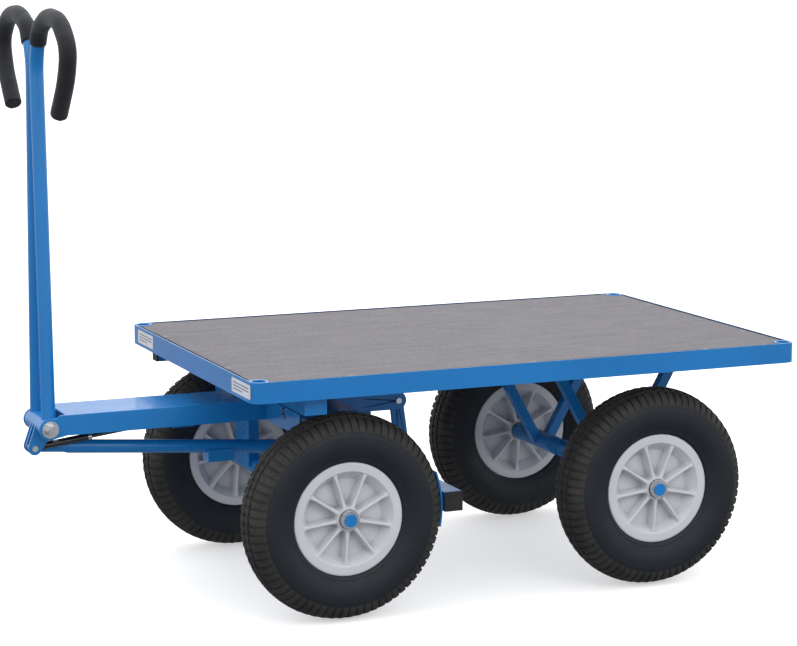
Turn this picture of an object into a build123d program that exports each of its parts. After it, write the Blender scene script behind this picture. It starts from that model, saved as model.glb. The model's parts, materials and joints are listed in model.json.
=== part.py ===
from build123d import *
import os
from math import atan2, cos, hypot, pi, radians, sin, sqrt, tan

# Platform trolley with turntable steering and a self-braking drawbar.
# Millimetres, +Z up.  The drawbar is at -X, and Y is across the trolley.  Drawn about the middle
# of the platform, then every piece moves by ORIGIN_SHIFT along X, so that the origin ends up on
# the floor under the middle of the whole trolley's box.

# ---------------------------------------------------------------- driving dimensions
DECK_LENGTH = 1160.0
DECK_WIDTH = 760.0
DECK_TOP = 480.0
RAIL_HEIGHT = 40.0
RAIL_WALL = 3.0
LEDGE_WIDTH = 30.0
PANEL_THICKNESS = 12.0
PANEL_GAP = 2.5
SOCKET_RADIUS = 19.0
SOCKET_BORE_RADIUS = 13.0

TYRE_RADIUS = 200.0
TYRE_WIDTH = 100.0
RIM_RADIUS = 110.0
RIM_HALF_WIDTH = 38.0
RIB_COUNT = 9
WHEEL_Y = 314.0
AXLE_HEIGHT = TYRE_RADIUS
AXLE_TUBE_RADIUS = 19.0
AXLE_PIN_RADIUS = 10.0
AXLE_SHOULDER_Y = 272.0
AXLE_END_Y = 364.0
FRONT_AXLE_X = -380.0
REAR_AXLE_X = 283.0

NECK_HALF_WIDTH = 63.0
NECK_TOP = 384.0
NECK_BOTTOM = 344.0
STEEL = 5.0
BOLSTER_HALF_LENGTH = 60.0
BOLSTER_TOP = 388.0
BOLSTER_HALF_WIDTH = 250.0
TURNTABLE_RADIUS = 105.0
RACE_RADIUS = 88.0
BALL_RADIUS = 4.0

PIVOT = (-877.0, 358.0)
BARREL_RADIUS = 20.0
BARREL_HALF_LENGTH = 56.0
PIVOT_BOLT_RADIUS = 8.0
LUG_PIN = (-899.0, 316.0)
LUG_RADIUS = 13.0
DRAWBAR_X = -875.0
DRAWBAR_TUBE_RADIUS = 13.45
GRIP_RADIUS = 16.5
DRAWBAR_TRAVEL = 80.0

BRAKE_PIVOT = (-175.0, 370.0)
BRAKE_PIN = (-195.0, 258.0)
BRAKE_BAR_CENTRE = (-154.5, 210.0)
BRAKE_BAR_SIZE = 38.0
BRAKE_BAR_HALF_LENGTH = 330.0
BRAKE_ARM_Y = 100.0
PUSH_TUBE_RADIUS = 13.5

SPRING_Y = -16.5
SPRING_ANCHOR = (-600.0, 352.0)
SPRING_TUBE_RADIUS = 7.0
SPRING_ROD_RADIUS = 4.0

RUNNING_GAP = 0.05
FRONT_REACH = LUG_PIN[0] - LUG_RADIUS
ORIGIN_SHIFT = -(FRONT_REACH + DECK_LENGTH / 2) / 2


# ---------------------------------------------------------------- shape helpers
def block(x, y, z):
    """A box given by its lowest and highest value along each axis."""
    size = (x[1] - x[0], y[1] - y[0], z[1] - z[0])
    return Pos((x[0] + x[1]) / 2, (y[0] + y[1]) / 2, (z[0] + z[1]) / 2) * Box(*size)


def rod_x(radius, x, y, z):
    """A cylinder along X from x[0] to x[1]."""
    return Pos((x[0] + x[1]) / 2, y, z) * Rot(0, 90, 0) * Cylinder(radius, x[1] - x[0])


def rod_y(radius, centre, y):
    """A cylinder along Y from y[0] to y[1], about the point centre = (x, z)."""
    return Pos(centre[0], (y[0] + y[1]) / 2, centre[1]) * Rot(90, 0, 0) * Cylinder(radius, y[1] - y[0])


def rod_z(radius, x, y, z):
    """A cylinder along Z from z[0] to z[1]."""
    return Pos(x, y, (z[0] + z[1]) / 2) * Cylinder(radius, z[1] - z[0])


def hexagon_y(across_flats, centre, y):
    """A hexagonal head or nut along Y."""
    profile = RegularPolygon(across_flats / 2, 6, major_radius=False)
    return Pos(centre[0], y[0], centre[1]) * Rot(-90, 0, 0) * extrude(profile, y[1] - y[0])


def hexagon_z(across_flats, x, y, z):
    """A hexagonal head or nut along Z."""
    return Pos(x, y, z[0]) * extrude(RegularPolygon(across_flats / 2, 6, major_radius=False), z[1] - z[0])


def hexagon_x(across_flats, x, y, z):
    """A hexagonal head along X."""
    profile = RegularPolygon(across_flats / 2, 6, major_radius=False)
    return Pos(x[0], y, z) * Rot(0, 90, 0) * extrude(profile, x[1] - x[0])


def side_plate(points, y):
    """A flat plate from an outline of (x, z) points, from y[0] to y[1]."""
    outline = Polyline(*[(x, y[0], z) for x, z in points], close=True)
    return extrude(make_face(outline), amount=y[1] - y[0], dir=(0, 1, 0))


def link_plate(a, radius_a, b, radius_b, y):
    """A flat link across Y: round ends about a and b, joined by their common tangents."""
    length = hypot(b[0] - a[0], b[1] - a[1])
    heading = atan2(b[1] - a[1], b[0] - a[0])
    spread = pi / 2 + atan2(radius_b - radius_a, length)
    corners = []
    for centre, radius, side in ((a, radius_a, 1), (b, radius_b, 1), (b, radius_b, -1), (a, radius_a, -1)):
        angle = heading + side * spread
        corners.append((centre[0] + radius * cos(angle), centre[1] + radius * sin(angle)))
    return side_plate(corners, y) + rod_y(radius_a, a, y) + rod_y(radius_b, b, y)


def square_tube(start, end, size, wall):
    """A square tube between two points, with its flats facing Y and across."""
    axis = Vector(*end) - Vector(*start)
    plane = Plane(origin=start, x_dir=(0, 1, 0), z_dir=axis.normalized())
    section = Rectangle(size, size) - Rectangle(size - 2 * wall, size - 2 * wall)
    return extrude(plane * section, axis.length)


def square_bar(start, end, size):
    """The full square section that a square tube of the same line takes up."""
    plane = Plane(origin=start, x_dir=(0, 1, 0), z_dir=(Vector(*end) - Vector(*start)).normalized())
    return extrude(plane * Rectangle(size, size), (Vector(*end) - Vector(*start)).length)


def along(a, b, distance):
    """The (x, z) point at a distance from a towards b."""
    length = hypot(b[0] - a[0], b[1] - a[1])
    return (a[0] + (b[0] - a[0]) * distance / length, a[1] + (b[1] - a[1]) * distance / length)


def round_bar(radius, a, b, y, taper=None):
    """A round bar at the given y, from a to b, both (x, z); taper is its radius at b."""
    plane = Plane(origin=(a[0], y, a[1]), x_dir=(0, 1, 0), z_dir=(b[0] - a[0], 0, b[1] - a[1]))
    length = hypot(b[0] - a[0], b[1] - a[1])
    if taper is None:
        return plane * Pos(0, 0, length / 2) * Cylinder(radius, length)
    return plane * Pos(0, 0, length / 2) * Cone(radius, taper, length)


def turned(offset, angle):
    """The (x, z) offset after a turn by angle about -Y, which carries +Z towards -X."""
    x, z = offset
    return (x * cos(angle) - z * sin(angle), x * sin(angle) + z * cos(angle))


def lug_pin_at(angle):
    """Where the lug pin is once the drawbar has been lowered by angle."""
    x, z = turned((LUG_PIN[0] - PIVOT[0], LUG_PIN[1] - PIVOT[1]), angle)
    return (PIVOT[0] + x, PIVOT[1] + z)


def save(name, pieces):
    """Write one node's solids to its own STEP file."""
    solids = []
    for piece in pieces:
        solids.extend(piece.solids())
    for solid in solids:
        if not solid.is_valid:
            print("invalid solid in", name)
    node = Pos(ORIGIN_SHIFT, 0, 0) * Compound(children=solids)
    node.label = name
    export_step(node, f"parts/{name}.step")


# ---------------------------------------------------------------- platform
HALF_LENGTH = DECK_LENGTH / 2
HALF_WIDTH = DECK_WIDTH / 2
RAIL_BOTTOM = DECK_TOP - RAIL_HEIGHT
LEDGE_TOP = DECK_TOP - 1.0 - PANEL_THICKNESS
SOCKET_CENTRES = [
    (sx * (HALF_LENGTH - SOCKET_RADIUS), sy * (HALF_WIDTH - SOCKET_RADIUS))
    for sx in (-1, 1)
    for sy in (-1, 1)
]
LONG_BEAM_Y = 165.0
LONG_BEAM_WIDTH = 30.0
CROSSBEAM_TOP = RAIL_BOTTOM
FRONT_CROSSBEAM_X = (-467.0, -422.0)
FRONT_CROSSBEAM_HALF = 346.0
REAR_CROSSBEAM_X = (-320.0, -275.0)
REAR_CROSSBEAM_HALF = 200.0
CROSSBEAM_BOTTOM = 405.0
STUB_X = (-541.0, -467.0)
STUB_Y = (321.0, 351.0)
CAP_THICKNESS = 4.0
BRACE_SIZE = 20.0
BRACE_Y = 165.0
BRACE_TOP_SPREAD = 146.0
BRACE_FOOT_SPREAD = 12.0


def sockets_envelope():
    """The four corner posts as solid cylinders, used to cut what meets them."""
    return [rod_z(SOCKET_RADIUS, x, y, (RAIL_BOTTOM - 5, DECK_TOP + 5)) for x, y in SOCKET_CENTRES]


def edge_rail(inner, outer, across):
    """An angle rail: an upright edge with a ledge inside it that carries the panel."""
    ledge_z = (LEDGE_TOP - RAIL_WALL, LEDGE_TOP)
    edge = block(*across(outer, RAIL_WALL), (RAIL_BOTTOM, DECK_TOP))
    ledge = block(*across(inner, LEDGE_WIDTH), ledge_z)
    return edge + ledge


def long_rail(side):
    """A rail along X on one side, side = -1 or 1, between two corner posts."""
    def across(half_length, depth):
        y = sorted((side * HALF_WIDTH, side * (HALF_WIDTH - depth)))
        return (-half_length, half_length), y
    end = HALF_LENGTH - SOCKET_RADIUS
    rail = edge_rail(end, end, across)
    for post in sockets_envelope():
        rail -= post
    return rail


def cross_rail(end_sign):
    """A rail along Y at one end, end_sign = -1 or 1, between two corner posts."""
    def across(half_width, depth):
        x = sorted((end_sign * HALF_LENGTH, end_sign * (HALF_LENGTH - depth)))
        return x, (-half_width, half_width)
    rail = edge_rail(HALF_WIDTH - LEDGE_WIDTH, HALF_WIDTH - SOCKET_RADIUS, across)
    for post in sockets_envelope():
        rail -= post
    return rail


def corner_sockets():
    """Open stake sockets that form the platform's rounded corners."""
    tubes = []
    for x, y in SOCKET_CENTRES:
        tube = rod_z(SOCKET_RADIUS, x, y, (RAIL_BOTTOM, DECK_TOP))
        tubes.append(tube - rod_z(SOCKET_BORE_RADIUS, x, y, (RAIL_BOTTOM - 5, DECK_TOP + 5)))
    return tubes


SCREW_HEAD_RADIUS = 6.0
SCREW_RADIUS = 3.0
SCREW_INSET = 16.0


def deck_panel():
    """The plywood panel, let in between the rails and cut round the sockets."""
    x = HALF_LENGTH - RAIL_WALL - PANEL_GAP
    y = HALF_WIDTH - RAIL_WALL - PANEL_GAP
    panel = block((-x, x), (-y, y), (LEDGE_TOP, LEDGE_TOP + PANEL_THICKNESS))
    for cx, cy in SOCKET_CENTRES:
        panel -= rod_z(SOCKET_RADIUS + 1.0, cx, cy, (RAIL_BOTTOM, DECK_TOP + 5))
        corner_x = sorted((cx, cx * 1.2))
        corner_y = sorted((cy, cy * 1.2))
        panel -= block(corner_x, corner_y, (RAIL_BOTTOM, DECK_TOP + 5))
    for screw_x, screw_y in screw_places():
        panel -= rod_z(SCREW_HEAD_RADIUS, screw_x, screw_y, (DECK_TOP - 4.0, DECK_TOP))
        panel -= rod_z(SCREW_RADIUS, screw_x, screw_y, (RAIL_BOTTOM, DECK_TOP))
    return panel


def screw_places():
    """Countersunk screws hold the panel to the ledges, just inside the edges."""
    y = HALF_WIDTH - SCREW_INSET
    x = HALF_LENGTH - SCREW_INSET
    places = [(sx * 380.0, sy * y) for sx in (-1, 0, 1) for sy in (-1, 1)]
    return places + [(sx * x, sy * 200.0) for sx in (-1, 1) for sy in (-1, 1)]


def panel_screws():
    """Screws with flat heads just under the panel's face."""
    screws = []
    for x, y in screw_places():
        head = rod_z(SCREW_HEAD_RADIUS, x, y, (DECK_TOP - 4.0, DECK_TOP - 1.2))
        shank = rod_z(SCREW_RADIUS, x, y, (LEDGE_TOP, DECK_TOP - 4.0))
        screws.append(head + shank)
    return screws


def longitudinal_beams():
    """Two box beams under the panel, notched round the end rails' ledges."""
    beams = []
    end = HALF_LENGTH - RAIL_WALL
    for side in (-1, 1):
        y = side * LONG_BEAM_Y
        outer = block((-end, end), (y - LONG_BEAM_WIDTH / 2, y + LONG_BEAM_WIDTH / 2), (RAIL_BOTTOM, LEDGE_TOP))
        hollow = (y - LONG_BEAM_WIDTH / 2 + RAIL_WALL, y + LONG_BEAM_WIDTH / 2 - RAIL_WALL)
        outer -= block((-end - 1, end + 1), hollow, (RAIL_BOTTOM + RAIL_WALL, LEDGE_TOP - RAIL_WALL))
        for sign in (-1, 1):
            notch = sorted((sign * (end + 1), sign * (HALF_LENGTH - LEDGE_WIDTH)))
            outer -= block(notch, (y - 30, y + 30), (LEDGE_TOP - RAIL_WALL, LEDGE_TOP + 1))
        beams.append(outer)
    return beams


def box_beam_y(x, half_length, z, wall=3.0):
    """A rectangular tube along Y, open at both ends."""
    tube = block(x, (-half_length, half_length), z)
    inside_x = (x[0] + wall, x[1] - wall)
    return tube - block(inside_x, (-half_length - 1, half_length + 1), (z[0] + wall, z[1] - wall))


def turntable_crossbeams():
    """Two box beams with welded end plates, which carry the platform on the turntable."""
    z = (CROSSBEAM_BOTTOM, CROSSBEAM_TOP)
    beams = []
    for x, half in ((FRONT_CROSSBEAM_X, FRONT_CROSSBEAM_HALF), (REAR_CROSSBEAM_X, REAR_CROSSBEAM_HALF)):
        beam = box_beam_y(x, half, z)
        for side in (-1, 1):
            beam += block(x, sorted((side * half, side * (half + CAP_THICKNESS))), z)
        beams.append(beam)
    return beams


def front_stub_tube():
    """A short box tube welded to the front crossbeam near its right-hand end."""
    z = (CROSSBEAM_BOTTOM, CROSSBEAM_TOP)
    tube = block(STUB_X, STUB_Y, z)
    bore = (STUB_Y[0] + 2.5, STUB_Y[1] - 2.5)
    return tube - block((STUB_X[0] - 1, STUB_X[1] + 1), bore, (z[0] + 2.5, z[1] - 2.5))


def stub_cap():
    """The plastic cap in the stub's open end."""
    z = (CROSSBEAM_BOTTOM, CROSSBEAM_TOP)
    lid = block((STUB_X[0] - CAP_THICKNESS, STUB_X[0]), STUB_Y, z)
    plug_y = (STUB_Y[0] + 2.5, STUB_Y[1] - 2.5)
    return lid + block((STUB_X[0], STUB_X[0] + 12), plug_y, (z[0] + 2.5, z[1] - 2.5))


AXLE_BUTTON_Y = AXLE_END_Y - 2.2
AXLE_BUTTON_RADIUS = 12.5
CAP_RADIUS = 18.5


def axle(x):
    """A tube between the wheels, with a solid pin for a wheel at each end and a button on its tip."""
    tube = rod_y(AXLE_TUBE_RADIUS, (x, AXLE_HEIGHT), (-AXLE_SHOULDER_Y, AXLE_SHOULDER_Y))
    pins = rod_y(AXLE_PIN_RADIUS, (x, AXLE_HEIGHT), (-AXLE_END_Y, AXLE_END_Y))
    for side in (-1, 1):
        button_y = sorted((side * AXLE_BUTTON_Y, side * AXLE_END_Y))
        pins += rod_y(AXLE_BUTTON_RADIUS, (x, AXLE_HEIGHT), button_y)
    return tube + pins


def axle_washers(x):
    """A thrust washer between each axle shoulder and its wheel."""
    washers = []
    for side in (-1, 1):
        y = sorted((side * AXLE_SHOULDER_Y, side * (AXLE_SHOULDER_Y + 3.5)))
        ring = rod_y(17.0, (x, AXLE_HEIGHT), y)
        washers.append(ring - rod_y(AXLE_PIN_RADIUS, (x, AXLE_HEIGHT), (y[0] - 1, y[1] + 1)))
    return washers


def retaining_caps(x):
    """Push-on steel caps with a notched rim that keep the wheels on the axle."""
    caps = []
    start = WHEEL_Y + RIM_HALF_WIDTH + 1.3
    for side in (-1, 1):
        y = sorted((side * start, side * AXLE_BUTTON_Y))
        cap = rod_y(CAP_RADIUS, (x, AXLE_HEIGHT), y)
        for step in range(12):
            angle = 2 * pi * step / 12
            reach = CAP_RADIUS + 0.9
            notch = (x + reach * cos(angle), AXLE_HEIGHT + reach * sin(angle))
            cap -= rod_y(1.9, notch, (y[0] - 1, y[1] + 1))
        caps.append(cap - rod_y(AXLE_PIN_RADIUS, (x, AXLE_HEIGHT), (y[0] - 1, y[1] + 1)))
    return caps


def rear_braces():
    """Four struts: a V on each side, from the platform's beams down to the rear axle."""
    struts = []
    axle_keepout = rod_y(AXLE_TUBE_RADIUS, (REAR_AXLE_X, AXLE_HEIGHT), (-AXLE_SHOULDER_Y, AXLE_SHOULDER_Y))
    above = block((-HALF_LENGTH, HALF_LENGTH), (-HALF_WIDTH, HALF_WIDTH), (RAIL_BOTTOM, RAIL_BOTTOM + 60))
    for side in (-1, 1):
        feet = []
        heads = []
        for sign in (-1, 1):
            feet.append((REAR_AXLE_X + sign * BRACE_FOOT_SPREAD, side * BRACE_Y, AXLE_HEIGHT))
            heads.append((REAR_AXLE_X + sign * (BRACE_TOP_SPREAD + 8.0), side * BRACE_Y, RAIL_BOTTOM + 15.0))
        front = square_tube(feet[0], heads[0], BRACE_SIZE, 2.5) - axle_keepout - above
        rear = square_tube(feet[1], heads[1], BRACE_SIZE, 2.5) - axle_keepout - above
        rear -= square_bar(feet[0], heads[0], BRACE_SIZE)
        struts.append(max(front.solids(), key=lambda solid: solid.volume))
        struts.append(max(rear.solids(), key=lambda solid: solid.volume))
    return struts


# ---------------------------------------------------------------- turntable
LOWER_PLATE_TOP = BOLSTER_TOP + STEEL
UPPER_PLATE_BOTTOM = CROSSBEAM_BOTTOM - STEEL
TURNTABLE_BOLT_RADIUS = 96.0
KINGPIN_RADIUS = 10.0
BUSH_RADIUS = 16.0


def race_torus(clearance):
    """The ring-shaped space that the balls roll in."""
    centre_z = (LOWER_PLATE_TOP + UPPER_PLATE_BOTTOM) / 2
    return Pos(FRONT_AXLE_X, 0, centre_z) * Torus(RACE_RADIUS, BALL_RADIUS + clearance)


def turntable_bolt_places():
    """Bolt holes of the turntable's upper plate, under the two crossbeams."""
    places = []
    for span in (FRONT_CROSSBEAM_X, REAR_CROSSBEAM_X):
        middle = (span[0] + span[1]) / 2
        y = sqrt(TURNTABLE_BOLT_RADIUS ** 2 - (middle - FRONT_AXLE_X) ** 2)
        places += [(middle, -y), (middle, y)]
    return places


def upper_race_plate():
    """The upper half of the turntable, which turns with the platform."""
    plate = rod_z(TURNTABLE_RADIUS, FRONT_AXLE_X, 0, (UPPER_PLATE_BOTTOM, CROSSBEAM_BOTTOM))
    plate -= race_torus(0.3)
    plate -= rod_z(KINGPIN_RADIUS, FRONT_AXLE_X, 0, (UPPER_PLATE_BOTTOM - 1, CROSSBEAM_BOTTOM + 1))
    for x, y in turntable_bolt_places():
        plate -= rod_z(4.0, x, y, (UPPER_PLATE_BOTTOM - 1, CROSSBEAM_BOTTOM + 1))
    return plate


def turntable_bolts():
    """Bolts that join the upper plate to the crossbeams, with heads flush in the beams."""
    bolts = []
    for x, y in turntable_bolt_places():
        shank = rod_z(4.0, x, y, (UPPER_PLATE_BOTTOM, CROSSBEAM_BOTTOM + 9.0))
        bolts.append(shank + hexagon_z(13.0, x, y, (CROSSBEAM_BOTTOM + 3.0, CROSSBEAM_BOTTOM + 9.0)))
    return bolts


def lower_race_plate():
    """The lower half of the turntable, which stays on the steered bogie."""
    plate = rod_z(TURNTABLE_RADIUS, FRONT_AXLE_X, 0, (BOLSTER_TOP, LOWER_PLATE_TOP))
    plate -= rod_z(BUSH_RADIUS, FRONT_AXLE_X, 0, (BOLSTER_TOP - 1, LOWER_PLATE_TOP + 1))
    return plate - race_torus(0.0)


def race_balls():
    """Steel balls between the two plates."""
    centre_z = (LOWER_PLATE_TOP + UPPER_PLATE_BOTTOM) / 2
    balls = []
    for step in range(24):
        angle = 2 * pi * step / 24
        x = FRONT_AXLE_X + RACE_RADIUS * cos(angle)
        balls.append(Pos(x, RACE_RADIUS * sin(angle), centre_z) * Sphere(BALL_RADIUS))
    return balls


def kingpin_bolt():
    """The steering pin: a shouldered bolt with its washer and nut, fixed to the platform."""
    x = FRONT_AXLE_X
    nut_z = (BUSH_BOTTOM - 20.0, BUSH_BOTTOM - 4.0)
    washer_z = (nut_z[1], BUSH_BOTTOM - 0.4)
    bolt = rod_z(KINGPIN_RADIUS, x, 0, (nut_z[0], CROSSBEAM_BOTTOM + 13.0))
    bolt += hexagon_z(30.0, x, 0, (CROSSBEAM_BOTTOM, CROSSBEAM_BOTTOM + 13.0))
    nut = hexagon_z(30.0, x, 0, nut_z) - rod_z(KINGPIN_RADIUS, x, 0, nut_z)
    washer = rod_z(17.0, x, 0, washer_z) - rod_z(KINGPIN_RADIUS, x, 0, (washer_z[0] - 1, washer_z[1] + 1))
    return [bolt, nut, washer]


# ---------------------------------------------------------------- steered bogie
BUSH_BOTTOM = 346.0
BOLSTER_X = (FRONT_AXLE_X - BOLSTER_HALF_LENGTH, FRONT_AXLE_X + BOLSTER_HALF_LENGTH)
LEG_X = (-402.0, -380.0)
LEG_Y = (150.0, 234.0)
EAR_RADIUS = 21.0
NECK_INNER = NECK_HALF_WIDTH - STEEL
NECK_PLATE_START = -846.0
NECK_WALL_START = -856.0
HANGER_Z = (352.0, 388.0)
HANGER_THICKNESS = 8.0
SPRING_BRACKET_X = (-622.0, -578.0)
SCREW_Y = 165.0
SCREW_HEIGHTS = (369.0, 381.0)


def tow_neck():
    """A channel, open underneath, whose side walls end in ears for the drawbar's pivot bolt."""
    ear_bottom = PIVOT[1] - EAR_RADIUS
    outline = [
        (PIVOT[0], ear_bottom),
        (PIVOT[0], PIVOT[1] + EAR_RADIUS),
        (NECK_WALL_START - 8.0, PIVOT[1] + EAR_RADIUS),
        (NECK_WALL_START, NECK_TOP),
        (BOLSTER_X[0], NECK_TOP),
        (BOLSTER_X[0], NECK_BOTTOM),
        (NECK_WALL_START + 12.0, NECK_BOTTOM),
    ]
    walls = []
    for side in (-1, 1):
        y = sorted((side * NECK_INNER, side * NECK_HALF_WIDTH))
        wall = side_plate(outline, y) + rod_y(EAR_RADIUS, PIVOT, y)
        walls.append(wall - rod_y(PIVOT_BOLT_RADIUS, PIVOT, (y[0] - 1, y[1] + 1)))
    top = block((NECK_PLATE_START, BOLSTER_X[0]), (-NECK_INNER, NECK_INNER), (NECK_TOP - STEEL, NECK_TOP))
    return walls[0] + walls[1] + top


def bolster():
    """A cross channel, open underneath, that carries the turntable and the legs."""
    z = (NECK_BOTTOM, BOLSTER_TOP)
    y = (-BOLSTER_HALF_WIDTH, BOLSTER_HALF_WIDTH)
    channel = block(BOLSTER_X, y, z)
    channel -= block((BOLSTER_X[0] + STEEL, BOLSTER_X[1] - STEEL), y, (z[0], z[1] - STEEL))
    channel -= rod_z(BUSH_RADIUS, FRONT_AXLE_X, 0, (z[0], z[1]))
    for screw in bolster_screws(hollow=True):
        channel -= screw
    return channel


def bolster_screws(hollow=False):
    """Long screws that clamp the legs to the bolster's front wall."""
    screws = []
    for side in (-1, 1):
        for z in SCREW_HEIGHTS:
            shank = rod_x(3.0, (BOLSTER_X[0] - 1, LEG_X[0] + 14.0), side * SCREW_Y, z)
            if not hollow:
                shank += hexagon_x(10.0, (BOLSTER_X[0] - 4.5, BOLSTER_X[0]), side * SCREW_Y, z)
            screws.append(shank)
    return screws


def kingpin_bush():
    """A bronze bush in the bolster that turns on the kingpin."""
    z = (BUSH_BOTTOM, UPPER_PLATE_BOTTOM - 0.5)
    bush = rod_z(BUSH_RADIUS, FRONT_AXLE_X, 0, z)
    return bush - rod_z(KINGPIN_RADIUS + RUNNING_GAP, FRONT_AXLE_X, 0, (z[0] - 1, z[1] + 1))


def bogie_legs():
    """Flat legs from the bolster down to the front axle."""
    legs = []
    axle_keepout = rod_y(AXLE_TUBE_RADIUS, (FRONT_AXLE_X, AXLE_HEIGHT), (-AXLE_SHOULDER_Y, AXLE_SHOULDER_Y))
    for side in (-1, 1):
        y = sorted((side * LEG_Y[0], side * LEG_Y[1]))
        leg = block(LEG_X, y, (AXLE_HEIGHT + 2.0, BOLSTER_TOP - STEEL)) - axle_keepout
        for screw in bolster_screws(hollow=True):
            leg -= screw
        legs.append(leg)
    return legs


def brake_hangers():
    """Two flat bars behind the bolster, with bores for the brake's pivot pins."""
    hangers = []
    for side in (-1, 1):
        inner = side * BRAKE_ARM_Y
        y = sorted((inner, inner + side * HANGER_THICKNESS))
        bar = block((BOLSTER_X[1], BRAKE_PIVOT[0]), y, HANGER_Z)
        bar += rod_y((HANGER_Z[1] - HANGER_Z[0]) / 2, BRAKE_PIVOT, y)
        hangers.append(bar - rod_y(6.0, BRAKE_PIVOT, (y[0] - 1, y[1] + 1)))
    return hangers


def pivot_bolt():
    """The drawbar's pivot bolt across the neck's ears, with two washers and a nut."""
    outer = NECK_HALF_WIDTH
    washers = []
    for side in (-1, 1):
        y = sorted((side * outer, side * (outer + 2.5)))
        washers.append(rod_y(16.5, PIVOT, y) - rod_y(PIVOT_BOLT_RADIUS, PIVOT, (y[0] - 1, y[1] + 1)))
    shank = rod_y(PIVOT_BOLT_RADIUS, PIVOT, (-outer - 19.0, outer + 2.5))
    head = hexagon_y(19.0, PIVOT, (outer + 2.5, outer + 12.5))
    nut = hexagon_y(19.0, PIVOT, (-outer - 15.5, -outer - 2.5))
    nut -= rod_y(PIVOT_BOLT_RADIUS, PIVOT, (-outer - 16, -outer - 2))
    return [shank + head, nut] + washers


# ---------------------------------------------------------------- linkage motion
TRAVEL = radians(DRAWBAR_TRAVEL)


def brake_pin_at(angle):
    """Where the brake's clevis pin is once the brake has swung by angle."""
    x, z = turned((BRAKE_PIN[0] - BRAKE_PIVOT[0], BRAKE_PIN[1] - BRAKE_PIVOT[1]), angle)
    return (BRAKE_PIVOT[0] + x, BRAKE_PIVOT[1] + z)


def distance(a, b):
    return hypot(b[0] - a[0], b[1] - a[1])


def heading(a, b):
    """The angle of a -> b, measured so that a turn about -Y makes it larger."""
    return atan2(b[1] - a[1], b[0] - a[0])


def full_brake_swing():
    """The brake's swing at full travel, found by halving, so that the push tube keeps its length."""
    length = distance(LUG_PIN, BRAKE_PIN)
    low = 0.0
    high = radians(60.0)
    for _ in range(60):
        middle = (low + high) / 2
        if distance(lug_pin_at(TRAVEL), brake_pin_at(middle)) < length:
            low = middle
        else:
            high = middle
    return low


BRAKE_RATIO = full_brake_swing() / TRAVEL
PUSH_END_TURN = heading(lug_pin_at(TRAVEL), brake_pin_at(BRAKE_RATIO * TRAVEL)) - heading(LUG_PIN, BRAKE_PIN)
PUSH_RATIO = PUSH_END_TURN / TRAVEL - 1.0
SPRING_END_TURN = heading(lug_pin_at(TRAVEL), SPRING_ANCHOR) - heading(LUG_PIN, SPRING_ANCHOR)
SPRING_RATIO = SPRING_END_TURN / TRAVEL - 1.0
SPRING_STROKE = distance(LUG_PIN, SPRING_ANCHOR) - distance(lug_pin_at(TRAVEL), SPRING_ANCHOR)
SLIDE_RATIO = SPRING_STROKE / TRAVEL
STEPS = 16


def push_slot_path():
    """The clevis pin's path in the push tube's own frame, relative to the pin at rest."""
    path = []
    for step in range(STEPS + 1):
        angle = TRAVEL * step / STEPS
        start = lug_pin_at(angle)
        pin = brake_pin_at(BRAKE_RATIO * angle)
        turn = (1.0 + PUSH_RATIO) * angle
        local = turned((pin[0] - start[0], pin[1] - start[1]), -turn)
        path.append((LUG_PIN[0] + local[0], LUG_PIN[1] + local[1]))
    return path


def spring_eye_path():
    """The path of the gas spring's rear eye in the bogie's frame."""
    path = []
    full = distance(LUG_PIN, SPRING_ANCHOR)
    rest = heading(LUG_PIN, SPRING_ANCHOR)
    for step in range(STEPS + 1):
        angle = TRAVEL * step / STEPS
        start = lug_pin_at(angle)
        reach = full - SLIDE_RATIO * angle
        way = rest + (1.0 + SPRING_RATIO) * angle
        path.append((start[0] + reach * cos(way), start[1] + reach * sin(way)))
    return path


def spring_bracket():
    """A two-walled bracket in the neck; the gas spring's rear pin moves in its slots."""
    plates = []
    for side in (-1, 1):
        y = sorted((SPRING_Y + side * 6.0, SPRING_Y + side * 11.0))
        plate = block(SPRING_BRACKET_X, y, (334.0, NECK_TOP - STEEL))
        for x, z in spring_eye_path():
            plate -= rod_y(5.6, (x, z), (y[0] - 1, y[1] + 1))
        plates.append(plate)
    return plates


# ---------------------------------------------------------------- drawbar
FOOT_Z = 362.0
TUBE_FOOT_Y = 44.0
TUBE_JOIN_Y = 13.6
TUBE_JOIN_Z = 1058.0
GRIP_WALL_END = 5.0
LUG_PLATE_Y = (4.5, 9.5)
OUTER_LUG_Y = (-28.5, -24.0)
BUSHING_RADIUS = 11.0

# The hand loop's corner points (|y|, z), from the join of the two tubes out and down to its tip.
LOOP = [(46.0, 1118.0), (108.0, 1143.0), (192.0, 1136.0), (247.0, 1086.0), (226.0, 1030.0), (173.0, 968.0)]
GRIP_START = (30.0, 1089.0)


def corner_radii(points):
    """The largest neat arc for each corner: its tangents take 0.45 of the shorter run."""
    radii = []
    for before, corner, after in zip(points, points[1:], points[2:]):
        run_in = Vector(*corner) - Vector(*before)
        run_out = Vector(*after) - Vector(*corner)
        turn = radians(run_in.get_angle(run_out))
        radii.append(0.45 * min(run_in.length, run_out.length) / tan(turn / 2))
    return radii


def swept_bar(points, radius):
    """A round bar along straight runs joined by tangent arcs."""
    path = FilletPolyline(*points, radius=corner_radii(points))
    section = Plane(origin=path @ 0, z_dir=path % 0) * Circle(radius)
    return sweep(section, path=path)


def loop_points(side, tip_extra=0.0):
    """The loop's points in space, with its last run made longer by tip_extra."""
    ring = list(LOOP)
    last, before = ring[-1], ring[-2]
    stretch = 1.0 + tip_extra / hypot(last[0] - before[0], last[1] - before[1])
    ring[-1] = (before[0] + (last[0] - before[0]) * stretch, before[1] + (last[1] - before[1]) * stretch)
    return [(DRAWBAR_X, side * y, z) for y, z in ring]


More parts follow.
